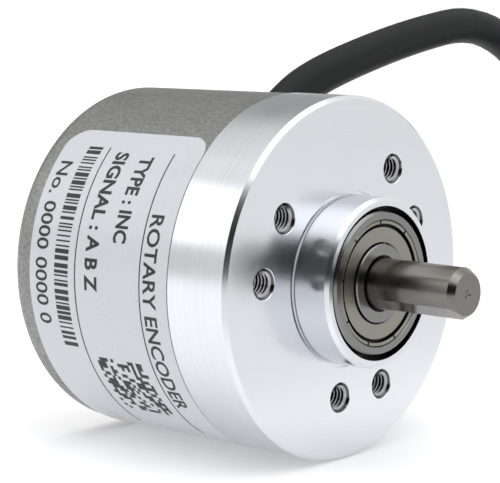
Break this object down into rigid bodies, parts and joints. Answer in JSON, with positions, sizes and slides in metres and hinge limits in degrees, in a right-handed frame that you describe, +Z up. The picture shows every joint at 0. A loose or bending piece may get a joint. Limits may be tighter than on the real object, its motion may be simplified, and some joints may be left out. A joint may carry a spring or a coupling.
{
  "type": "rotary encoder",
  "caption": "Round-bodied incremental rotary encoder with a solid shaft, pilot boss, threaded flange holes and a radial cable.",
  "frame": {"origin": "centre of the flange's front mounting face, on the shaft axis", "axes": "+X out along the shaft, +Z up with the case lying on its side, +Y away to the side the cable leaves"},
  "size_m": [0.0696, 0.1915, 0.0523],
  "materials": {
    "polished_aluminium": "turned and polished",
    "cast_aluminium": "fine bead blasted",
    "silver_film": "glossy silver film",
    "bearing_steel": "ground",
    "shield_steel": "pressed, satin",
    "ball_steel": "polished",
    "cage_steel": "pressed",
    "shaft_steel": "ground stainless",
    "spring_steel": "tempered",
    "zinc_screw": "zinc plated",
    "brass": "turned",
    "hub_alloy": "turned",
    "code_glass": "chromed glass",
    "clear_lens": "clear",
    "black_moulding": "fine texture",
    "circuit_board": "solder mask",
    "chip_black": "moulded epoxy",
    "capacitor_can": "sleeveless can",
    "ceramic": "fired",
    "tinned_wire": "tinned",
    "seal_rubber": "smooth",
    "cable_jacket": "matte PVC",
    "wire_insulation": "PVC, five colours",
    "nylon_tie": "nylon",
    "crimp_metal": "plated",
    "white_plug": "nylon"
  },
  "bodies": {
    "housing": {"front_flange": "polished_aluminium", "rear_cover": "cast_aluminium", "cover_seal": "seal_rubber", "cover_screws": "zinc_screw", "rating_label": "silver_film", "board_pillars": "brass", "board_spacers": "brass", "cover_pillars": "brass", "front_bearing_outer_ring": "bearing_steel", "front_bearing_shields": "shield_steel", "rear_bearing_outer_ring": "bearing_steel", "rear_bearing_shields": "shield_steel", "wave_washer": "spring_steel", "led_holder": "black_moulding", "led": "clear_lens", "led_lens": "clear_lens", "led_leads": "tinned_wire", "sensor_board": "circuit_board", "detector_chip": "chip_black", "reticle": "code_glass", "main_board": "circuit_board", "board_header": "black_moulding", "capacitors": "capacitor_can", "resistors": "ceramic", "driver_chip": "chip_black", "regulator_chip": "chip_black", "wire_plug": "white_plug", "cable_entry": "cable_jacket", "cable_grommet": "seal_rubber", "cable_crimp": "crimp_metal", "inner_wires": "wire_insulation", "cable": "cable_jacket", "cable_coil": "cable_jacket", "coil_ties": "nylon_tie", "cable_leads": "wire_insulation"},
    "rotor": {"shaft": "shaft_steel", "front_bearing_inner_ring": "bearing_steel", "rear_bearing_inner_ring": "bearing_steel", "shaft_clip": "spring_steel", "disc_hub": "hub_alloy", "hub_screws": "spring_steel", "code_disc": "code_glass", "disc_clamp": "hub_alloy"},
    "front_balls": {"front_bearing_balls": "ball_steel", "front_bearing_cage": "cage_steel"},
    "rear_balls": {"rear_bearing_balls": "ball_steel", "rear_bearing_cage": "cage_steel"}
  },
  "joints": [
    {"name": "shaft_spin", "type": "hinge", "parent": "housing", "child": "rotor", "pos_m": [0, 0, 0], "axis": [1, 0, 0], "continuous": true},
    {"name": "front_cage_spin", "type": "hinge", "parent": "housing", "child": "front_balls", "pos_m": [0.002, 0, 0], "axis": [1, 0, 0], "continuous": true},
    {"name": "rear_cage_spin", "type": "hinge", "parent": "housing", "child": "rear_balls", "pos_m": [-0.0116, 0, 0], "axis": [1, 0, 0], "continuous": true}
  ],
  "couplings": [
    {"joint": "front_cage_spin", "follows": "shaft_spin", "ratio": 0.36957},
    {"joint": "rear_cage_spin", "follows": "shaft_spin", "ratio": 0.36957}
  ]
}
